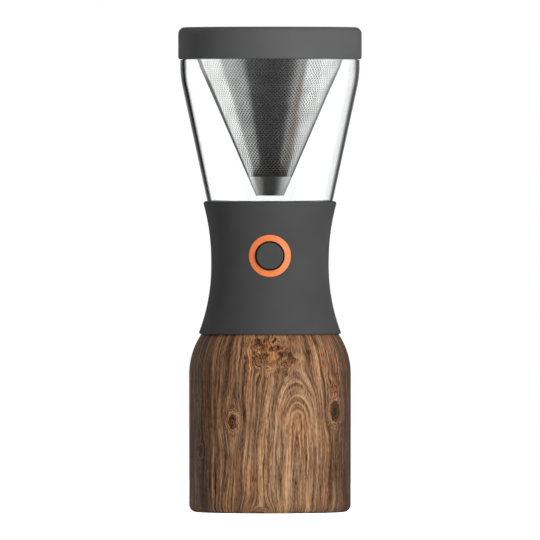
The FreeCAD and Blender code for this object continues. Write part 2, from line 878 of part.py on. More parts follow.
# the accent ring's face follows the collar, a little proud of it
blank_front = "button_front + blank_over"
ring_blank = on_button_axis(ring("ring_blank", "ring_hole", "ring_radius", "ring_back", blank_front))
ring_envelope = turned(
    "ring_envelope",
    [
        Corner("0", "plate_top"),
        *waist("ring_proud", "plate_top", "collar_top"),
        Corner("0", "collar_top"),
    ],
)
accent_ring = doc.addObject("Part::Common", "accent_ring")
accent_ring.Base = ring_blank
accent_ring.Tool = ring_envelope
accent_ring.Label = "accent_ring"

# Filter: a perforated cone closed by a drawn tip, under a flange


def cone(level, inward="0"):
    """The cone's outer radius at a height, less a depth into the wall."""
    return f"cone_radius + cone_slope * ({level} - lid_bottom) - {inward}"


filter_rim = turned(
    "filter_rim",
    [
        Corner("filter_flange_in", "cone_top"),
        Corner("filter_lip_radius - filter_lip_wall", "cone_top"),
        Corner("filter_lip_radius - filter_lip_wall", "filter_lip_bottom"),
        Corner("filter_lip_radius", "filter_lip_bottom"),
        Corner("filter_lip_radius", "cone_top"),
        Corner("filter_flange_radius", "cone_top"),
        Corner("filter_flange_radius", "filter_flange_top"),
        Corner("filter_flange_in", "filter_flange_top"),
    ],
)
filter_cone = turned(
    "filter_cone",
    [
        Corner(cone("mesh_bottom", "cone_wall"), "mesh_bottom"),
        Corner(cone("mesh_bottom"), "mesh_bottom"),
        Corner(cone("cone_top"), "cone_top"),
        Corner(cone("cone_top", "cone_wall"), "cone_top"),
    ],
)
sleeve_top = "(mesh_bottom + tip_sleeve)"
filter_tip = turned(
    "filter_tip",
    [
        Corner("0", "tip_bottom"),
        Corner(cone("tip_bottom"), "tip_bottom"),
        Corner(cone("mesh_bottom"), "mesh_bottom"),
        Corner(cone("mesh_bottom", "cone_wall"), "mesh_bottom"),
        Corner(cone(sleeve_top, "cone_wall"), sleeve_top),
        Corner(cone(sleeve_top, "2 * cone_wall"), sleeve_top),
        Corner(cone("mesh_bottom", "2 * cone_wall"), "mesh_bottom"),
        Corner(cone("tip_bottom", "2 * cone_wall"), "tip_bottom + tip_floor"),
        Corner("0", "tip_bottom + tip_floor"),
    ],
)

# Lid

lid_cap = turned(
    "lid_cap",
    [
        Corner("lid_radius - lid_wall", "lid_bottom"),
        Corner(value("lid_radius - lid_edge"), "lid_bottom", "lid_edge", smooth=True),
        Corner("lid_radius", value("lid_bottom + lid_edge"), smooth=True),
        Corner("lid_radius", value("total_height - lid_corner"), "lid_corner", smooth=True),
        Corner(value("lid_radius - lid_corner"), "total_height", smooth=True),
        Corner("0", "total_height"),
        Corner("0", "total_height - lid_plate"),
        Corner("lid_rib_radius", "total_height - lid_plate"),
        Corner("lid_rib_radius", "lid_rib_bottom"),
        Corner("lid_rib_radius + lid_rib_wall", "lid_rib_bottom"),
        Corner("lid_rib_radius + lid_rib_wall", "total_height - lid_plate"),
        Corner("lid_radius - lid_wall", "total_height - lid_plate"),
    ],
)
seal_in = "lid_rib_radius + lid_rib_wall"
seal_out = "lid_radius - lid_wall"
seal_top = "total_height - lid_plate - lid_seal_fit"
lid_seal = turned(
    "lid_seal",
    [
        Corner(f"{seal_in} + lid_seal_fit", "lid_seal_bottom"),
        Corner(f"{seal_out} - lid_seal_fit", "lid_seal_bottom"),
        Corner(f"{seal_out} - lid_seal_fit", f"{seal_top} - lid_seal_groove"),
        Corner(f"{seal_out} - lid_seal_lip", seal_top),
        Corner(f"{seal_in} + lid_seal_lip", seal_top),
        Corner(f"{seal_in} + lid_seal_fit", f"{seal_top} - lid_seal_groove"),
    ],
)

# Output: one file for each piece

PIECES = [
    carafe_outer_shell,
    carafe_inner_liner,
    carafe_base_plate,
    getter_capsule,
    collar_shell,
    collar_deck,
    brew_chamber,
    chamber_gasket,
    neck_seal,
    valve_housing,
    port_cap,
    port_seal,
    valve_seat,
    carafe_adapter,
    carafe_gasket,
    spout_nut,
    accent_ring,
    button_spring,
    valve_spring,
    button_cap,
    push_rod,
    valve_stem,
    valve_seal,
    valve_follower,
    filter_rim,
    filter_cone,
    filter_tip,
    lid_cap,
    lid_seal,
]

doc.recompute()
for thing in doc.Objects:
    if "Invalid" in thing.State or "Error" in thing.State:
        raise ValueError(f"{thing.Label} does not compute: {thing.State}")

os.makedirs("parts", exist_ok=True)
for piece in PIECES:
    if piece.Shape.isNull() or not piece.Shape.isValid() or len(piece.Shape.Solids) != 1:
        raise ValueError(f"{piece.Label} is not one sound solid")
    piece.Shape.exportStep(f"parts/{piece.Label}.step")
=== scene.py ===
import bpy
import math
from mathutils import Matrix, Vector


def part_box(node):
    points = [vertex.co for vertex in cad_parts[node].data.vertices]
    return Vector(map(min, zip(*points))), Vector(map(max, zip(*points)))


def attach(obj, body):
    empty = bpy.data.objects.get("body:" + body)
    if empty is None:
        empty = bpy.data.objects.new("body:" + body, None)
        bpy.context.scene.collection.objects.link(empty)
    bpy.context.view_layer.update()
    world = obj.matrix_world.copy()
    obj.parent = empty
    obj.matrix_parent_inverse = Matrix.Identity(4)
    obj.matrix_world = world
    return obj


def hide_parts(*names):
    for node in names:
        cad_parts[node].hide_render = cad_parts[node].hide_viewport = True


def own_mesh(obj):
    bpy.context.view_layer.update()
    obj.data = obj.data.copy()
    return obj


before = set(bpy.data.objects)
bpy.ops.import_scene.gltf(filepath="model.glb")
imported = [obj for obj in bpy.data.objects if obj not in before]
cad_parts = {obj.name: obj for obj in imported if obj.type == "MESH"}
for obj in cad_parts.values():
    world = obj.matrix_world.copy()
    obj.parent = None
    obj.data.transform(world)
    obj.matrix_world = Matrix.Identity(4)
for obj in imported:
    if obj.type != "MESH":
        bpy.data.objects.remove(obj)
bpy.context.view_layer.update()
scene = bpy.context.scene

# Camera
# The photograph was taken with a long lens, ten metres from the tower and a little below the height
# of its lid: the lid's top edge is nearly straight, and the foot shows a shallow curve.

FRAME_PIXELS = 540
PIXEL = 0.6803e-3
AXIS_COLUMN = 269.95
FLOOR_ROW = 511.9
CAMERA_DISTANCE = 10.2
CAMERA_HEIGHT = 0.253

lens = bpy.data.cameras.new("long_lens")
lens.sensor_width = 36.0
lens.lens = lens.sensor_width * CAMERA_DISTANCE / (FRAME_PIXELS * PIXEL)
lens.clip_start = 0.1
lens.clip_end = 50.0
camera = bpy.data.objects.new("camera", lens)
aim = Vector(((FRAME_PIXELS / 2 - AXIS_COLUMN) * PIXEL, 0, (FLOOR_ROW - FRAME_PIXELS / 2) * PIXEL))
camera.location = (aim.x, -CAMERA_DISTANCE, CAMERA_HEIGHT)
camera.rotation_euler = (aim - camera.location).to_track_quat("-Z", "Y").to_euler()
scene.collection.objects.link(camera)
scene.camera = camera
scene.view_settings.view_transform = "Standard"
scene.view_settings.look = "None"

# Studio
# A white sweep and backdrop, a few soft lights, and grey cards that stand round the tower. The steel
# and the clear chamber mirror the cards, which draw their stripes and dark edges.


def linear(colour):
    """An sRGB hex colour as linear red, green, blue and alpha."""
    parts = [int(colour[i : i + 2], 16) / 255 for i in (1, 3, 5)]
    return (*(c / 12.92 if c <= 0.04045 else ((c + 0.055) / 1.055) ** 2.4 for c in parts), 1.0)


def add(tree, kind, inputs=(), out=0, stops=(), **settings):
    """Adds a node and returns one of its outputs, or all of them where out is None.

    A second word of the kind is its operation, or a colour ramp's way of blending its stops, each a
    place with a grey level or hex colour. An input is a value, or the socket it is linked from.
    """
    kind, _, mode = kind.partition(" ")
    node = tree.nodes.new(kind if kind.startswith(("Geometry", "Node")) else "ShaderNode" + kind)
    if stops:
        node.color_ramp.interpolation = mode
        points = node.color_ramp.elements
        while len(points) < len(stops):
            points.new(0.5)
        for point, (place, colour) in zip(points, stops):
            point.position = place
            point.color = linear(colour) if isinstance(colour, str) else (colour, colour, colour, 1.0)
    elif mode:
        node.operation = mode
    for name, setting in settings.items():
        setattr(node, name, setting)
    for key, given in inputs.items() if isinstance(inputs, dict) else enumerate(inputs):
        if isinstance(given, bpy.types.NodeSocket):
            tree.links.new(given, node.inputs[key])
        else:
            node.inputs[key].default_value = given
    return node.outputs if out is None else node.outputs[out]


# a Mix node's sockets: the share, its two numbers, its two colours, and the mixed colour
SHARE, NUMBER_A, NUMBER_B, COLOUR_A, COLOUR_B, MIXED = 0, 2, 3, 6, 7, 2

# brightness of the cards by the way they lie from the tower: 0 is straight behind it, 1 is at the
# camera, first as metal mirrors them on the left and on the right, then as the clear wall bends them
CARDS_LEFT = [
    (0.0, 0.40), (0.05, 0.28), (0.09, 0.14), (0.115, 0.015), (0.19, 0.015), (0.225, 1.75),
    (0.475, 1.85), (0.485, 0.85), (0.685, 0.75), (0.76, 0.12), (1.0, 0.09),
]
CARDS_RIGHT = [
    (0.0, 0.45), (0.05, 0.38), (0.09, 0.20), (0.115, 0.015), (0.135, 0.015), (0.165, 0.30), (0.195, 0.9),
    (0.27, 1.45), (0.60, 1.65), (0.61, 0.75), (0.68, 0.62), (0.75, 0.2), (0.785, 0.11), (1.0, 0.09),
]
CARDS_SEEN_THROUGH = [
    (0.0, 1.2), (0.012, 1.15), (0.03, 1.05), (0.055, 0.92), (0.083, 0.80), (0.105, 0.5), (0.125, 0.1),
    (0.14, 0.0), (0.20, 0.0), (0.225, 1.0), (1.0, 1.0),
]
# what the dim room sheds on the tower, from its left to its right
ROOM = [(0.0, "#0c0a0a"), (0.5, "#1c1c1c"), (1.0, "#303030")]


def ray_mirrored(tree):
    """1 for a ray that metal or the clear wall has mirrored on its way."""
    return add(tree, "Math GREATER_THAN", (add(tree, "LightPath", out="Glossy Depth"), 0.5))


world = bpy.data.worlds.new("studio")
world.use_nodes = True
scene.world = world
tree = world.node_tree
tree.nodes.clear()
direction = add(tree, "SeparateXYZ", (add(tree, "TexCoord", out="Generated"),), out=None)
across = direction["X"]
bearing = add(tree, "Math ARCTAN2", (add(tree, "Math ABSOLUTE", (across,)), direction["Y"]))
bearing = add(tree, "Math DIVIDE", (bearing, math.pi))
on_right = add(tree, "Math GREATER_THAN", (across, 0.0))
left = add(tree, "ValToRGB LINEAR", (bearing,), stops=CARDS_LEFT)
right = add(tree, "ValToRGB LINEAR", (bearing,), stops=CARDS_RIGHT)
cards = add(tree, "Mix", {SHARE: on_right, COLOUR_A: left, COLOUR_B: right}, MIXED, data_type="RGBA")
through = add(tree, "ValToRGB LINEAR", (bearing,), stops=CARDS_SEEN_THROUGH)
room = add(tree, "ValToRGB EASE", (add(tree, "Math MULTIPLY_ADD", (across, 0.5, 0.5)),), stops=ROOM)
rays = add(tree, "LightPath", out=None)
for share, colour in (
    (ray_mirrored(tree), cards),
    (rays["Is Diffuse Ray"], room),
    (rays["Is Camera Ray"], linear("#ffffff")),
):
    through = add(tree, "Mix", {SHARE: share, COLOUR_A: through, COLOUR_B: colour}, MIXED, data_type="RGBA")
backdrop = add(tree, "Background", {"Color": through, "Strength": 1.0})
add(tree, "OutputWorld", {"Surface": backdrop}, out=None)

TOWER_MIDDLE = Vector((0, 0, 0.165))


def softbox(name, azimuth, elevation, distance, size, watts):
    """A light that looks at the tower's middle. Azimuth 0 is at the camera, 90 on the right."""
    a, e = math.radians(azimuth), math.radians(elevation)
    way = Vector((math.sin(a) * math.cos(e), -math.cos(a) * math.cos(e), math.sin(e)))
    light = bpy.data.lights.new(name, "AREA")
    light.shape = "RECTANGLE"
    light.size, light.size_y = size
    light.energy = watts
    lamp = bpy.data.objects.new(name, light)
    lamp.location = TOWER_MIDDLE + way * distance
    lamp.rotation_euler = (-way).to_track_quat("-Z", "Y").to_euler()
    lamp.visible_glossy = False
    lamp.visible_transmission = False
    scene.collection.objects.link(lamp)


softbox("key_strip", azimuth=27, elevation=2, distance=0.5, size=(0.12, 1.4), watts=7.6)
softbox("top_light", azimuth=10, elevation=75, distance=1.4, size=(0.8, 0.8), watts=5)
softbox("back_fill", azimuth=190, elevation=12, distance=0.9, size=(0.4, 1.2), watts=3)
softbox("left_rim", azimuth=-100, elevation=10, distance=0.9, size=(0.3, 1.0), watts=0.9)


def studio_material(name):
    """An empty material for a board of the studio, with its tree."""
    material = bpy.data.materials.new(name)
    material.use_nodes = True
    material.node_tree.nodes.clear()
    return material, material.node_tree


def board(name, corners, material):
    """A flat four-cornered board of the studio, which isn't part of the tower."""
    mesh = bpy.data.meshes.new(name)
    mesh.from_pydata(corners, [], [(0, 1, 2, 3)])
    mesh.materials.append(material)
    made = bpy.data.objects.new(name, mesh)
    scene.collection.objects.link(made)
    return made


# white painted board, lit until it is as white as the backdrop; mirrored rays pass it by
FLOOR_REACH = 3.0
GLOW_SEEN, GLOW_SHED = 1.05, 0.06
paint, tree = studio_material("white_board")
shed = add(tree, "LightPath", out="Is Diffuse Ray")
strength = add(tree, "MapRange", (shed, 0.0, 1.0, GLOW_SEEN, GLOW_SHED))
glow = add(tree, "Emission", {"Color": linear("#ffffff"), "Strength": strength})
sweep = add(tree, "AddShader", (add(tree, "BsdfDiffuse", {"Color": linear("#f4f4f4")}), glow))
surface = add(tree, "MixShader", (ray_mirrored(tree), sweep, add(tree, "BsdfTransparent")))
add(tree, "OutputMaterial", {"Surface": surface}, out=None)
corners = [(-1, -1), (1, -1), (1, 1), (-1, 1)]
board("white_sweep", [(x * FLOOR_REACH, y * FLOOR_REACH, 0) for x, y in corners], paint)

# a low flag of brown cloth on the right, which only the steel cone mirrors, low on its right side: it
# is there for rays that were mirrored and then came out through the chamber, and for no others
FLAG_ASIDE = 0.25
FLAG_FRONT, FLAG_BACK = -0.165, 0.055
FLAG_HEIGHT = 0.103
FLAG_GLOW = 0.95
cloth, tree = studio_material("brown_cloth")
glow = add(tree, "Emission", {"Color": linear("#b9aea8"), "Strength": FLAG_GLOW})
surface = add(tree, "MixShader", (ray_mirrored(tree), add(tree, "BsdfTransparent"), glow))
add(tree, "OutputMaterial", {"Surface": surface}, out=None)
corners = [(FLAG_FRONT, FLAG_HEIGHT), (FLAG_BACK, FLAG_HEIGHT), (FLAG_BACK, 0), (FLAG_FRONT, 0)]
flag = board("brown_flag", [(FLAG_ASIDE, y, z) for y, z in corners], cloth)
flag.visible_camera = False
flag.visible_diffuse = False
flag.visible_glossy = False
flag.visible_shadow = False

# Carafe, outer shell
# A drawn steel bottle. A walnut-like grain is printed on it by water transfer under a satin clear
# coat, with knots, a burl under the collar and arches like those of a sawn plank.

MM = 0.001
CARAFE_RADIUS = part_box("carafe_outer_shell")[1].x / MM
GIRTH = 2 * math.pi * CARAFE_RADIUS

# all in print millimetres, round the bottle from its front and up it; the film starts and ends at
# the seam
SEAM = -44.0
# arches close on a line, and widen slowly below the knee and steeply above it, up to the crown
ARCH_LINE = 18.8
ARCH_KNEE = (67.0, 4.0)
ARCH_SLOPES = (0.065, 0.48)
ARCH_CROWN, CROWN_BLEND = 16.0, 6.0
ARCH_LINE_STEP, ARCH_LINE_REACH = 0.62, 3.0
# how far the grain strays: over the whole print, line by line, and in a burl
SWAY, RIPPLE, CURL = 6.0, 1.0, 18.0
# how much the grain parts round a knot, and how far off it still does, in half widths
PARTING, PARTING_REACH = 0.75, 2.1
# knots: where one starts and is whole, how uneven it is, its rings, its dark heart and its warmth
KNOT_EDGE = (2.2, 0.9)
KNOT_UNEVEN = (1.6, 0.2)
KNOT_RING_STEP, KNOT_RING_WIDTH = 2.1, 1.6
HEART_REACH = 0.5
KNOT_WARMTH, BURL_WARMTH, PATCH_WARMTH = 0.3, 0.6, 0.5
# levels of the noise between which eyes, pores and warm patches come in, and half a line's width
EYE_EDGE = (0.45, 0.65)
PORE_EDGE = (0.58, 0.70)
PATCH_EDGE = (0.45, 0.75)
LINE_EDGE = 0.04
# the print's noise changes by one cell in this many millimetres round the bottle
DRIFT = 40.0
# knots: middle, half width and half height of the core
KNOTS = [
    ((-26.5, 62.0), (4.8, 7.0)),
    ((51.3, 68.5), (6.2, 9.4)),
    ((289.3, 42.3), (2.6, 4.0)),
    ((-7.0, -1.0), (6.0, 4.0)),
    ((98.0, 40.0), (4.5, 8.0)),
    ((227.6, 78.0), (5.0, 7.0)),
    ((150.0, 95.0), (3.6, 5.5)),
]
# burls: middle, half sizes and strength
BURLS = [
    ((0.0, 111.0), (17.0, 14.0), 1.0),
    ((50.0, 86.0), (6.0, 9.0), 0.5),
    ((286.0, 40.0), (5.0, 11.0), 0.6),
]
# lighter and darker areas of the film, and broad painted shade darker towards both sides of the bottle:
# middle, half sizes and change of tone
PRINT_AREAS_AND_SIDE_SHADE = [
    ((4.0, 30.0), (14.0, 60.0), 0.05),
    ((-21.0, 60.0), (4.0, 60.0), 0.05),
    ((22.0, 40.0), (4.0, 50.0), 0.04),
    ((38.0, 100.0), (12.0, 16.0), 0.03),
    ((-39.0, 40.0), (5.0, 50.0), 0.045),
    # painted shade: darker towards both sides of the bottle, where it turns away, most of all on the right
    ((-34.0, 70.0), (16.0, 90.0), -0.03),
    ((280.0, 60.0), (24.0, 90.0), -0.07),
    ((78.0, 50.0), (24.0, 90.0), -0.13),
]
# colours of the print by its tone, from the darkest lines to the lightest wood
WOOD_TONES = [(0.40, "#22160e"), (0.48, "#463020"), (0.555, "#6a4e3a"), (0.63, "#8b6d52"), (0.75, "#b99777")]
BURL_TONES = [(0.42, "#24140c"), (0.50, "#633d24"), (0.58, "#996841"), (0.69, "#d3a474")]
BASE_TONE = 0.05


def finish(name, **inputs):
    """A new material with its one shader set. Returns the material, its tree and the shader."""
    material = bpy.data.materials.new(name)
    material.use_nodes = True
    shader = material.node_tree.nodes["Principled BSDF"]
    for key, given in inputs.items():
        shader.inputs[key.replace("_", " ")].default_value = given
    return material, material.node_tree, shader


def dress(material, *names):
    """Gives CAD nodes a material in all their slots."""
    for name in names:
        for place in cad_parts[name].material_slots:
            place.material = material


def field(tree, across, along, wide, tall, seed, detail=2.0, roughness=0.5):
    """Noise over the print between 0 and 1, in cells of a width and a height."""
    place = (add(tree, "Math DIVIDE", (across, wide)), add(tree, "Math DIVIDE", (along, tall)), seed)
    spot = add(tree, "CombineXYZ", place)
    return add(tree, "TexNoise", {"Vector": spot, "Scale": 1.0, "Detail": detail, "Roughness": roughness})


def either_side(tree, level, reach):
    """A level between 0 and 1 as a shift of up to a reach either way."""
    return add(tree, "Math MULTIPLY_ADD", (level, 2 * reach, -reach))


def spread(tree, across, along, middle, widths):
    """How far off a middle, in half widths: the offset across, and the whole distance squared."""
    offset = add(tree, "Math SUBTRACT", (across, middle[0]))
    wide = add(tree, "Math DIVIDE", (offset, widths[0]))
    tall = add(tree, "Math DIVIDE", (add(tree, "Math SUBTRACT", (along, middle[1])), widths[1]))
    tall = add(tree, "Math MULTIPLY", (tall, tall))
    return offset, add(tree, "Math MULTIPLY_ADD", (wide, wide, tall))


def bell(tree, squared, reach=1.0):
    """1 in the middle, falling to nothing."""
    return add(tree, "Math EXPONENT", (add(tree, "Math DIVIDE", (squared, -reach * reach)),))


wood, tree, shader = finish("walnut_print", Specular_IOR_Level=0.05)
place = add(tree, "SeparateXYZ", (add(tree, "TexCoord", out="Object"),), out=None)
angle = add(tree, "Math ARCTAN2", (place["X"], add(tree, "Math MULTIPLY", (place["Y"], -1.0))))
turn = add(tree, "Math WRAP", (add(tree, "Math MULTIPLY", (angle, CARAFE_RADIUS)), SEAM + GIRTH, SEAM))
up = add(tree, "Math DIVIDE", (place["Z"], MM))

# the grain sways a little, and parts round each knot
sway = either_side(tree, field(tree, turn, up, wide=40.0, tall=90.0, seed=1.0), SWAY)
ripple = either_side(tree, field(tree, turn, up, wide=6.0, tall=22.0, seed=2.0), RIPPLE)
grain = add(tree, "Math ADD", (turn, add(tree, "Math ADD", (sway, ripple))))
cores = []
for middle, widths in KNOTS:
    offset, squared = spread(tree, turn, up, middle, widths)
    parting = add(tree, "Math MULTIPLY", (offset, bell(tree, squared, PARTING_REACH)))
    grain = add(tree, "Math MULTIPLY_ADD", (parting, -PARTING, grain))
    cores.append((squared, widths[0]))

# arches: year rings met by the saw at a slant, so that they close above one another on one line
beside = add(tree, "Math SUBTRACT", (grain, ARCH_LINE))
beside_squared = add(tree, "Math MULTIPLY", (beside, beside))
knee, width = ARCH_KNEE
slow, steep = (add(tree, "Math MULTIPLY_ADD", (up, slope, width - slope * knee)) for slope in ARCH_SLOPES)
rise = add(tree, "Math SMOOTH_MIN", (add(tree, "Math MAXIMUM", (slow, steep)), ARCH_CROWN, CROWN_BLEND))
ring = add(tree, "Math SQRT", (add(tree, "Math MULTIPLY_ADD", (rise, rise, beside_squared)),))
closing = add(tree, "Math SINE", (add(tree, "Math MULTIPLY", (ring, 2 * math.pi / ARCH_LINE_STEP)),))
closing = add(tree, "MapRange", (closing, 0.2, 1.0))
closing = add(tree, "Math MULTIPLY", (closing, bell(tree, beside_squared, ARCH_LINE_REACH)))

# burls: the grain curls back on itself, with dark eyes
burl = 0.0
for middle, widths, most in BURLS:
    curl = either_side(tree, field(tree, turn, up, wide=9.0, tall=10.0, seed=3.0), CURL)
    strength = add(tree, "Math MULTIPLY", (bell(tree, spread(tree, turn, up, middle, widths)[1]), most))
    ring = add(tree, "Math MULTIPLY_ADD", (curl, strength, ring))
    burl = add(tree, "Math MAXIMUM", (burl, strength))
eyes = add(tree, "MapRange", (field(tree, ring, up, wide=3.4, tall=7.0, seed=33.0), *EYE_EDGE))
eyes = add(tree, "Math MULTIPLY", (eyes, burl))

# knots: uneven rings of their own round a dark heart, with a little of a burl's warmth
heart = 0.0
loops = 0.0
for squared, wide in cores:
    uneven = field(tree, turn, up, wide=3.0, tall=4.0, seed=7.0)
    uneven = add(tree, "Math MULTIPLY_ADD", (uneven, *KNOT_UNEVEN))
    squared = add(tree, "Math MULTIPLY", (squared, uneven))
    inside = add(tree, "MapRange", (squared, *KNOT_EDGE), interpolation_type="SMOOTHSTEP")
    rings = add(tree, "Math MULTIPLY", (add(tree, "Math SQRT", (squared,)), wide * KNOT_RING_WIDTH))
    loop = add(tree, "Math SINE", (add(tree, "Math MULTIPLY", (rings, 2 * math.pi / KNOT_RING_STEP)),))
    loops = add(tree, "Math MULTIPLY_ADD", (loop, inside, loops))
    burl = add(tree, "Math MAXIMUM", (burl, add(tree, "Math MULTIPLY", (inside, KNOT_WARMTH))))
    ring = add(tree, "Mix", {SHARE: inside, NUMBER_A: ring, NUMBER_B: rings}, data_type="FLOAT")
    heart = add(tree, "Math MAXIMUM", (heart, bell(tree, squared, HEART_REACH)))


def along_grain(line, wide, tall, seed, detail=2.0, roughness=0.5):
    """Noise drawn out along the grain, which changes slowly round the bottle too."""
    seed = add(tree, "Math MULTIPLY_ADD", (turn, 1 / DRIFT, seed))
    return field(tree, line, up, wide, tall, seed, detail, roughness)


# tones: broad bands, growth lines, streaks, fibres, flecks and pores, all along the grain
bands = along_grain(ring, wide=4.5, tall=160.0, seed=0.0)
streaks = along_grain(ring, wide=1.7, tall=55.0, seed=5.0, detail=3.0, roughness=0.6)
fibres = along_grain(ring, wide=0.8, tall=16.0, seed=9.0, roughness=0.6)
lines = along_grain(ring, wide=2.4, tall=120.0, seed=17.0, detail=1.0)
lines = add(tree, "Math ABSOLUTE", (add(tree, "Math SUBTRACT", (lines, 0.5)),))
lines = add(tree, "MapRange", (lines, 0.0, LINE_EDGE, 1.0, 0.0))
flecks = field(tree, turn, up, wide=0.7, tall=3.0, seed=13.0)
pores = field(tree, grain, up, wide=0.7, tall=7.0, seed=21.0, detail=1.0)
pores = add(tree, "MapRange", (pores, *PORE_EDGE))
tone = BASE_TONE
for layer, share in (
    (bands, 0.26), (streaks, 0.31), (fibres, 0.31), (flecks, 0.16), (pores, -0.08), (lines, -0.07),
    (heart, -0.15), (closing, -0.04), (eyes, -0.15), (loops, -0.035),
):
    tone = add(tree, "Math MULTIPLY_ADD", (layer, share, tone))
# areas of the print and the painted side shade change the tone
for middle, widths, change in PRINT_AREAS_AND_SIDE_SHADE:
    shade = bell(tree, spread(tree, turn, up, middle, widths)[1])
    tone = add(tree, "Math MULTIPLY_ADD", (shade, change, tone))

# most of the wood is a cool brown, and burls, knots and some patches are amber
warm = field(tree, turn, up, wide=12.0, tall=40.0, seed=29.0)
warm = add(tree, "MapRange", (warm, *PATCH_EDGE, 0.0, PATCH_WARMTH))
warm = add(tree, "Math MINIMUM", (add(tree, "Math MULTIPLY_ADD", (burl, BURL_WARMTH, warm)), 1.0))
walnut = add(tree, "ValToRGB LINEAR", (tone,), stops=WOOD_TONES)
amber = add(tree, "ValToRGB LINEAR", (tone,), stops=BURL_TONES)
colour = add(tree, "Mix", {SHARE: warm, COLOUR_A: walnut, COLOUR_B: amber}, MIXED, data_type="RGBA")

# the film ends just under the collar, and the neck above it is bare steel
FILM_TUCK = 2.0
FILM_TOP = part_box("collar_shell")[0].z / MM + FILM_TUCK
PRINT_ROUGHNESS, NECK_ROUGHNESS = 0.5, 0.3
bare = add(tree, "Math GREATER_THAN", (up, FILM_TOP))
neck = linear("#c4c1bc")
colour = add(tree, "Mix", {SHARE: bare, COLOUR_A: colour, COLOUR_B: neck}, MIXED, data_type="RGBA")
roughness = add(tree, "Math MULTIPLY_ADD", (bare, NECK_ROUGHNESS - PRINT_ROUGHNESS, PRINT_ROUGHNESS))
tree.links.new(colour, shader.inputs["Base Color"])
tree.links.new(bare, shader.inputs["Metallic"])
tree.links.new(roughness, shader.inputs["Roughness"])
# the clear coat lets the fibres be felt, a few hundredths of a millimetre deep
bump = add(tree, "Bump", {"Height": fibres, "Strength": 0.08, "Distance": 0.3 * MM})
tree.links.new(bump, shader.inputs["Normal"])
dress(wood, "carafe_outer_shell")

# Carafe, liner and base
# Bare stainless steel: a second bottle welded in at the lip and a pan welded in at the base, both
# satin from polishing belts that run round them.


def ringed(tree, shader, step, dark, light, detail=2.0, roughness=0.5):
    """Fine rings round the axis, as a polishing belt or a drawing die leaves them."""
    height = add(tree, "SeparateXYZ", (add(tree, "TexCoord", out="Object"),), out="Z")
    spot = add(tree, "CombineXYZ", {"Z": add(tree, "Math DIVIDE", (height, step))})
    rings = {"Vector": spot, "Scale": 1.0, "Detail": detail, "Roughness": roughness}
    colour = add(tree, "ValToRGB EASE", (add(tree, "TexNoise", rings),), stops=[(0.3, dark), (0.7, light)])
    tree.links.new(colour, shader.inputs["Base Color"])


# a belt leaves finer rings than these, which are as coarse as they need to be to show
BELT_STEP = 0.4 * MM
belt_steel, tree, shader = finish("satin_stainless", Metallic=1.0, Roughness=0.3)
ringed(tree, shader, BELT_STEP, "#aeaaa4", "#c9c6c1", detail=4.0, roughness=0.7)
dress(belt_steel, "carafe_inner_liner", "carafe_base_plate", "getter_capsule")

# Drain valve and adapter
# Acetal, moulded and turned, in the unseen middle of the collar: the housing under the chamber, the
# gland and seat in it, the stem, follower and rod that move, and the adapter with its nut.


def mottle(tree, shader, patch, dark, light, detail=2.0):
    """Lets the colour drift between two tones over patches of a size."""
    spot = add(tree, "TexCoord", out="Object")
    drift = add(tree, "TexNoise", {"Vector": spot, "Scale": 1 / patch, "Detail": detail})
    colour = add(tree, "ValToRGB EASE", (drift,), stops=[(0.3, dark), (0.7, light)])
    tree.links.new(colour, shader.inputs["Base Color"])


# black acetal is a little waxy: its highlights are broad and dull
acetal, tree, shader = finish("black_acetal", Roughness=0.38)
mottle(tree, shader, 8 * MM, "#3a3937", "#42413f")
dress(
    acetal, "valve_housing", "port_cap", "valve_seat", "carafe_adapter", "spout_nut", "push_rod",
    "valve_stem", "valve_follower",
)

# Seals
# Rings moulded in silicone, pushed into their grooves: under the chamber and its neck, round the push
# rod, under the valve's head, in the carafe's mouth and inside the lid.

# milky silicone has no gleam, and clouds a little from place to place
silicone, tree, shader = finish("milky_silicone", Roughness=0.5)
mottle(tree, shader, 4 * MM, "#c4c4c0", "#d0d0cc")
dress(
    silicone, "chamber_gasket", "neck_seal", "port_seal", "carafe_gasket", "valve_seal", "lid_seal",
)

# Springs
# Round stainless wire wound at an even pitch, one behind the button and one over the valve's head.

BUTTON_TURNS, BUTTON_WIRE = 6, 0.7 * MM
VALVE_TURNS, VALVE_WIRE = 5, 0.6 * MM
TURN_STEPS = 24
WIRE_SIDES = 8

# bright drawn wire mirrors sharply, with slight streaks from the die
spring_wire, tree, shader = finish("spring_wire", Metallic=1.0, Roughness=0.2)
mottle(tree, shader, 1 * MM, "#b8b6b2", "#cfcdc9")


def smooth(mesh, crease):
    """Shades a mesh smooth, apart from edges sharper than an angle."""
    mesh.polygons.foreach_set("use_smooth", [True] * len(mesh.polygons))
    mesh.set_sharp_from_angle(angle=math.radians(crease))


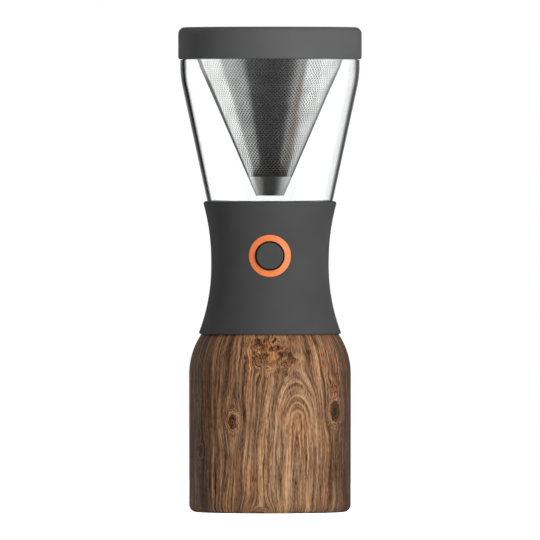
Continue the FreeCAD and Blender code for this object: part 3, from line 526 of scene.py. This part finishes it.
def wound_spring(name, node, along, turns, wire):
    """Round wire wound in the place of a CAD spring."""
    low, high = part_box(node)
    axis = Vector([float(i == along) for i in range(3)])
    first = Vector((0, 1, 0)) if along == 2 else Vector((0, 0, 1))
    second = axis.cross(first)
    length = high[along] - low[along]
    start = (low + high) / 2 - axis * (length / 2 - wire / 2)
    radius = (high.x - low.x) / 2 - wire / 2
    steps = turns * TURN_STEPS
    points, faces = [], []
    for step in range(steps + 1):
        angle = 2 * math.pi * step / TURN_STEPS
        out = first * math.cos(angle) + second * math.sin(angle)
        middle = start + axis * (length - wire) * step / steps + out * radius
        for side in range(WIRE_SIDES):
            a = 2 * math.pi * side / WIRE_SIDES
            points.append(middle + (out * math.cos(a) + axis * math.sin(a)) * wire / 2)
    for step in range(steps):
        for side in range(WIRE_SIDES):
            a, b = step * WIRE_SIDES + side, step * WIRE_SIDES + (side + 1) % WIRE_SIDES
            faces.append((a, a + WIRE_SIDES, b + WIRE_SIDES, b))
    faces.append(tuple(range(WIRE_SIDES)))
    faces.append(tuple(reversed(range(steps * WIRE_SIDES, (steps + 1) * WIRE_SIDES))))
    mesh = bpy.data.meshes.new(name)
    mesh.from_pydata(points, [], faces)
    mesh.materials.append(spring_wire)
    smooth(mesh, 60)
    piece = bpy.data.objects.new(name, mesh)
    scene.collection.objects.link(piece)
    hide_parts(node)
    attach(piece, "brewer")
    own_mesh(piece)


wound_spring("button_spring_wire", "button_spring", 1, BUTTON_TURNS, BUTTON_WIRE)
wound_spring("valve_spring_wire", "valve_spring", 2, VALVE_TURNS, VALVE_WIRE)

# Collar and button
# Moulded ABS with a soft-touch lacquer: near black and matt, with a very fine even stipple. The waisted
# collar stands on the adapter and holds the deck, the ring and the button.

# the lacquer's own stipple is finer, and is drawn as coarse as it needs to be to show
STIPPLE = 0.35 * MM
STIPPLE_DEPTH = 0.04 * MM
CLOUD = 30 * MM


def soft_touch(name, dark, light, gloss):
    """Soft-touch lacquer between two near-black tones. It has hardly any highlight."""
    material, tree, shader = finish(name, Roughness=0.5, Specular_IOR_Level=gloss)
    mottle(tree, shader, CLOUD, dark, light)
    spot = add(tree, "TexCoord", out="Object")
    stipple = {"Vector": spot, "Scale": 1 / STIPPLE, "Detail": 2.0, "Roughness": 0.6}
    stipple = add(tree, "TexNoise", stipple)
    bump = add(tree, "Bump", {"Height": stipple, "Strength": 0.1, "Distance": STIPPLE_DEPTH})
    tree.links.new(bump, shader.inputs["Normal"])
    return material


def paint_light_and_shade(material, where, bare):
    """Paints a flat colour over the lacquer where a socket is 1: painted light inside the collar, painted
    shade round the button.
    """
    tree = material.node_tree
    socket = tree.nodes["Principled BSDF"].inputs["Base Color"]
    colours = {SHARE: where, COLOUR_A: socket.links[0].from_socket, COLOUR_B: linear(bare)}
    tree.links.new(add(tree, "Mix", colours, MIXED, data_type="RGBA"), socket)


# painted light: the collar's inside is pale where it faces the axis above the deck, drawn as a bare
# moulding, so that the cone's tip mirrors a lit wall there
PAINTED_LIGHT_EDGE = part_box("collar_deck")[1].z - 1 * MM
FACES_AXIS = -0.4
collar_lacquer = soft_touch("soft_touch_collar", "#3c3c3c", "#3f3f3f", gloss=0.02)
tree = collar_lacquer.node_tree
spot = add(tree, "TexCoord", out=None)
outward = add(tree, "VectorMath MULTIPLY", (spot["Object"], (1, 1, 0)))
outward = add(tree, "VectorMath NORMALIZE", (outward,))
facing = add(tree, "VectorMath DOT_PRODUCT", (outward, spot["Normal"]), out="Value")
inward = add(tree, "Math LESS_THAN", (facing, FACES_AXIS))
above = add(tree, "Math GREATER_THAN", (add(tree, "SeparateXYZ", (spot["Object"],), out="Z"), PAINTED_LIGHT_EDGE))
# the pale inside wall is painted light
paint_light_and_shade(collar_lacquer, add(tree, "Math MULTIPLY", (inward, above)), "#d8d6d2")
dress(collar_lacquer, "collar_shell")

# the button's rounded edge and side are near black: bare moulding where the lacquer is on the face alone,
# and painted shade of the gap round it
FACES_FRONT = -0.9
button_lacquer = soft_touch("soft_touch_button", "#3c3c3c", "#3f3f3f", gloss=0.02)
tree = button_lacquer.node_tree
forward = add(tree, "SeparateXYZ", (add(tree, "TexCoord", out="Normal"),), out="Y")
# painted shade on the button's edge
paint_light_and_shade(button_lacquer, add(tree, "Math GREATER_THAN", (forward, FACES_FRONT)), "#0b0b0b")
dress(button_lacquer, "button_cap")

# Accent ring
# Orange ABS straight from a polished mould, snapped into the collar round the button. It is brighter
# and a little glossier than the lacquer round it.

orange, tree, shader = finish("orange_abs", Roughness=0.32)
mottle(tree, shader, 6 * MM, "#cd6d3d", "#d37343")
dress(orange, "accent_ring")

# Brewing chamber
# Clear copolyester moulded three millimetres thick and polished inside and out, so that its walls show
# as dark lines where they are seen edge on. It stands on the collar's deck.

copolyester, tree, shader = finish("clear_copolyester", Roughness=0.0, IOR=1.5, Transmission_Weight=1.0)
mottle(tree, shader, 20 * MM, "#fafbfb", "#fcfdfd", detail=1.0)
dress(copolyester, "brew_chamber")

# Filter
# A cone of etched stainless sheet with staggered round holes and a fine woven mesh behind it. A drawn
# tip closes it, and a spun flange hangs it in the chamber's mouth.

CONE_BOTTOM, CONE_TOP = (corner.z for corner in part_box("filter_cone"))
CONE_TOP_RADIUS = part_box("filter_cone")[1].x
# radius gained for each unit of height, as in the CAD
CONE_SLOPE = 0.4364
SHEET = 0.4 * MM
PLAIN_HEM = 5.0 * MM
HOLE_PITCH = 2.4 * MM
ROW_RISE = 1.25 * MM
# holes are finer near the flange: width and height at the bottom of the sheet and at its top
HOLE_BOTTOM = (2.05 * MM, 1.25 * MM)
HOLE_TOP = (0.9 * MM, 0.85 * MM)
# bands are a few rows tall, each with as many holes round as fit it at the pitch
BAND_ROWS = 8
WELD = 0.02 * MM
# added to a row's number, so that rounding doesn't drop it to the row below
NUDGE = 1e-4


def worked_steel(name, roughness, stretch):
    """Stainless worked round the axis, which blurs what it mirrors up and down."""
    material, tree, shader = finish(
        name, Metallic=1.0, Roughness=roughness, Anisotropic=stretch, Anisotropic_Rotation=0.25
    )
    tree.links.new(add(tree, "Tangent", direction_type="RADIAL", axis="Z"), shader.inputs["Tangent"])
    return material, tree, shader


# sheet and flange are polished, and mirror the room in sharp stripes that run down the cone
polished, tree, shader = worked_steel("polished_stainless", 0.14, 0.9)
mottle(tree, shader, 12 * MM, "#cbcbca", "#dcdcdb", detail=3.0)
dress(polished, "filter_rim", "collar_deck")

# the tip keeps the rings of its drawing die, coarser here than they are, and mirrors only broad bands
DIE_STEP = 0.5 * MM
drawn, tree, shader = worked_steel("drawn_stainless", 0.42, 1.0)
ringed(tree, shader, DIE_STEP, "#dcdcdb", "#ececeb")
dress(drawn, "filter_tip")


def cone_radius(height):
    """The cone's outer radius at a height."""
    return CONE_TOP_RADIUS - CONE_SLOPE * (CONE_TOP - height)


def hole_cell(hole_width, hole_height):
    """One cell of the sheet: six quads round a six-sided hole, one unit wide and one unit tall."""
    rim = [(-0.5, -0.5), (0.0, -0.5), (0.5, -0.5), (0.5, 0.5), (0.0, 0.5), (-0.5, 0.5)]
    turns = [math.radians(a) for a in (210, 270, 330, 30, 90, 150)]
    wide = hole_width / 2 / HOLE_PITCH
    tall = hole_height / 2 / (ROW_RISE / math.cos(math.atan(CONE_SLOPE)))
    hole = [(wide * math.cos(t), tall * math.sin(t)) for t in turns]
    mesh = bpy.data.meshes.new("hole_cell")
    quads = [(i, (i + 1) % 6, (i + 1) % 6 + 6, i + 6) for i in range(6)]
    mesh.from_pydata([(x, y, 0) for x, y in rim + hole], [], quads)
    return bpy.data.objects.new("hole_cell", mesh)


def sheet_tree():
    """Nodes that roll rows of staggered cells into a band of the cone."""
    tree = bpy.data.node_groups.new("perforated_band", "GeometryNodeTree")
    tree.interface.new_socket("Geometry", in_out="INPUT", socket_type="NodeSocketGeometry")
    for name, kind in {
        "Cell": "NodeSocketObject",
        "Holes Round": "NodeSocketInt",
        "Rows": "NodeSocketInt",
        "First Height": "NodeSocketFloat",
        "First Radius": "NodeSocketFloat",
        "Row Rise": "NodeSocketFloat",
        "Slope": "NodeSocketFloat",
        "Weld": "NodeSocketFloat",
        "Sheet Metal": "NodeSocketMaterial",
    }.items():
        tree.interface.new_socket(name, in_out="INPUT", socket_type=kind)
    tree.interface.new_socket("Geometry", in_out="OUTPUT", socket_type="NodeSocketGeometry")
    given = add(tree, "NodeGroupInput", out=None)

    # a flat sheet of cells, one unit apart, with every other row shifted by half a cell
    count = add(tree, "Math MULTIPLY", (given["Holes Round"], given["Rows"]))
    number = add(tree, "GeometryNodeInputIndex")
    column = add(tree, "Math FLOORED_MODULO", (number, given["Holes Round"]))
    row = add(tree, "Math DIVIDE", (number, given["Holes Round"]))
    row = add(tree, "Math FLOOR", (add(tree, "Math ADD", (row, NUDGE)),))
    odd = add(tree, "Math FLOORED_MODULO", (row, 2.0))
    shifted = add(tree, "Math MULTIPLY_ADD", (odd, 0.5, column))
    spots = add(tree, "CombineXYZ", (shifted, row))
    points = add(tree, "GeometryNodePoints", {"Count": count, "Position": spots})
    cell = add(tree, "GeometryNodeObjectInfo", {"Object": given["Cell"]}, out="Geometry")
    cells = add(tree, "GeometryNodeInstanceOnPoints", {"Points": points, "Instance": cell})
    flat = add(tree, "GeometryNodeRealizeInstances", (cells,))

    # rolled round the axis and up the slope, and welded where its ends and its cells meet
    at = add(tree, "SeparateXYZ", (add(tree, "GeometryNodeInputPosition"),), out=None)
    turn = add(tree, "Math DIVIDE", (at["X"], given["Holes Round"]))
    turn = add(tree, "Math MULTIPLY", (turn, 2 * math.pi))
    lift = add(tree, "Math MULTIPLY", (add(tree, "Math ADD", (at["Y"], 0.5)), given["Row Rise"]))
    height = add(tree, "Math ADD", (lift, given["First Height"]))
    radius = add(tree, "Math MULTIPLY_ADD", (lift, given["Slope"], given["First Radius"]))
    x = add(tree, "Math MULTIPLY", (add(tree, "Math SINE", (turn,)), radius))
    y = add(tree, "Math MULTIPLY", (add(tree, "Math COSINE", (turn,)), radius))
    rolled = add(tree, "CombineXYZ", (x, add(tree, "Math MULTIPLY", (y, -1.0)), height))
    band = add(tree, "GeometryNodeSetPosition", {"Geometry": flat, "Position": rolled})
    band = add(tree, "GeometryNodeMergeByDistance", {"Geometry": band, "Distance": given["Weld"]})
    band = add(tree, "GeometryNodeSetMaterial", {"Geometry": band, "Material": given["Sheet Metal"]})
    add(tree, "NodeGroupOutput", (band,), out=None)
    return tree


roll = sheet_tree()
sockets = {item.name: item.identifier for item in roll.interface.items_tree if item.in_out == "INPUT"}


def rolled_band(bottom, rows, holes):
    """One band of the cone as a plain mesh, before it gets its thickness."""
    share = (bottom - CONE_BOTTOM) / (CONE_TOP - CONE_BOTTOM)
    cell = hole_cell(*(low + (high - low) * share for low, high in zip(HOLE_BOTTOM, HOLE_TOP)))
    blank = bpy.data.objects.new("band", bpy.data.meshes.new("band"))
    scene.collection.objects.link(blank)
    modifier = blank.modifiers.new("roll", "NODES")
    modifier.node_group = roll
    sizes = {
        "Cell": cell, "Holes Round": holes, "Rows": rows, "First Height": bottom,
        "First Radius": cone_radius(bottom), "Row Rise": ROW_RISE, "Slope": CONE_SLOPE,
        "Weld": WELD, "Sheet Metal": polished,
    }
    for name, size in sizes.items():
        modifier[sockets[name]] = size
    bpy.context.view_layer.update()
    seen = blank.evaluated_get(bpy.context.evaluated_depsgraph_get())
    mesh = bpy.data.meshes.new_from_object(seen)
    bpy.data.objects.remove(blank)
    bpy.data.objects.remove(cell)
    return mesh


def joined(name, meshes):
    """Joins meshes into one object of the scene, with the sheet's material."""
    parts = []
    for mesh in meshes:
        part = bpy.data.objects.new(name, mesh)
        scene.collection.objects.link(part)
        parts.append(part)
    chosen = {"active_object": parts[0], "selected_editable_objects": parts, "selected_objects": parts}
    with bpy.context.temp_override(**chosen):
        bpy.ops.object.join()
    piece = parts[0]
    piece.name = name
    piece.data.materials.clear()
    piece.data.materials.append(polished)
    return piece


bands = []
bottom = CONE_BOTTOM
while bottom + BAND_ROWS * ROW_RISE < CONE_TOP - PLAIN_HEM:
    middle = bottom + BAND_ROWS * ROW_RISE / 2
    bands.append((bottom, BAND_ROWS, round(2 * math.pi * cone_radius(middle) / HOLE_PITCH)))
    bottom += BAND_ROWS * ROW_RISE
HEM_BOTTOM = bottom

# two pieces with about as many holes in each
total = sum(rows * holes for _, rows, holes in bands)
halves = {"filter_mesh_lower": [], "filter_mesh_upper": []}
made = 0
for low, rows, holes in bands:
    half = "filter_mesh_lower" if made < total / 2 else "filter_mesh_upper"
    halves[half].append(rolled_band(low, rows, holes))
    made += rows * holes

for name, meshes in halves.items():
    piece = joined(name, meshes)
    thick = piece.modifiers.new("thickness", "SOLIDIFY")
    thick.thickness = SHEET
    thick.offset = -1.0
    thick.use_even_offset = True
    bpy.context.view_layer.update()
    mesh = bpy.data.meshes.new_from_object(piece.evaluated_get(bpy.context.evaluated_depsgraph_get()))
    piece.modifiers.clear()
    piece.data = mesh
    smooth(mesh, 30)
    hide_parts("filter_cone")
    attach(piece, "filter")


def turned(name, profile, material, steps=144):
    """A closed ring turned from a profile of (radius, height) points that runs round its section."""
    turns = [2 * math.pi * i / steps for i in range(steps)]
    points = [(r * math.sin(turn), -r * math.cos(turn), z) for turn in turns for r, z in profile]
    size = len(profile)
    faces = []
    for i in range(steps):
        j = (i + 1) % steps
        for k in range(size):
            m = (k + 1) % size
            faces.append((i * size + k, j * size + k, j * size + m, i * size + m))
    mesh = bpy.data.meshes.new(name)
    mesh.from_pydata(points, [], faces)
    mesh.materials.append(material)
    smooth(mesh, 30)
    piece = bpy.data.objects.new(name, mesh)
    scene.collection.objects.link(piece)
    return piece


def wall(inset, wall_thickness, low, high):
    """The section of a cone between two heights, an inset inside the sheet's outer face."""
    outer = [(cone_radius(height) - inset, height) for height in (low, high)]
    return outer + [(radius - wall_thickness, height) for radius, height in reversed(outer)]


hem = turned("filter_hem", wall(0.0, SHEET, HEM_BOTTOM, CONE_TOP), polished)
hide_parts("filter_cone")
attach(hem, "filter")

# a fine woven mesh lines the sheet and makes its holes look dark: its near-black tone is painted shade, the
# dark of the cone's inside seen through the weave; its threads are finer than these, which are as coarse as
# they need to be to show
LINER_INSET = 0.5 * MM
LINER_WALL = 0.12 * MM
THREAD = 0.3 * MM
weave, tree, shader = finish("woven_mesh", Metallic=0.6, Roughness=0.7)
# painted shade: the weave's near-black tone
mottle(tree, shader, THREAD, "#2b2a29", "#3a3938")
liner = turned("filter_liner", wall(LINER_INSET, LINER_WALL, CONE_BOTTOM, CONE_TOP), weave)
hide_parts("filter_cone")
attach(liner, "filter")

# Lid
# Moulded ABS with the collar's soft-touch lacquer, a shade lighter. It drops over the filter's flange,
# and its silicone seal holds it there.

lid_lacquer = soft_touch("soft_touch_lid", "#494949", "#4c4c4c", gloss=0.04)
dress(lid_lacquer, "lid_cap")
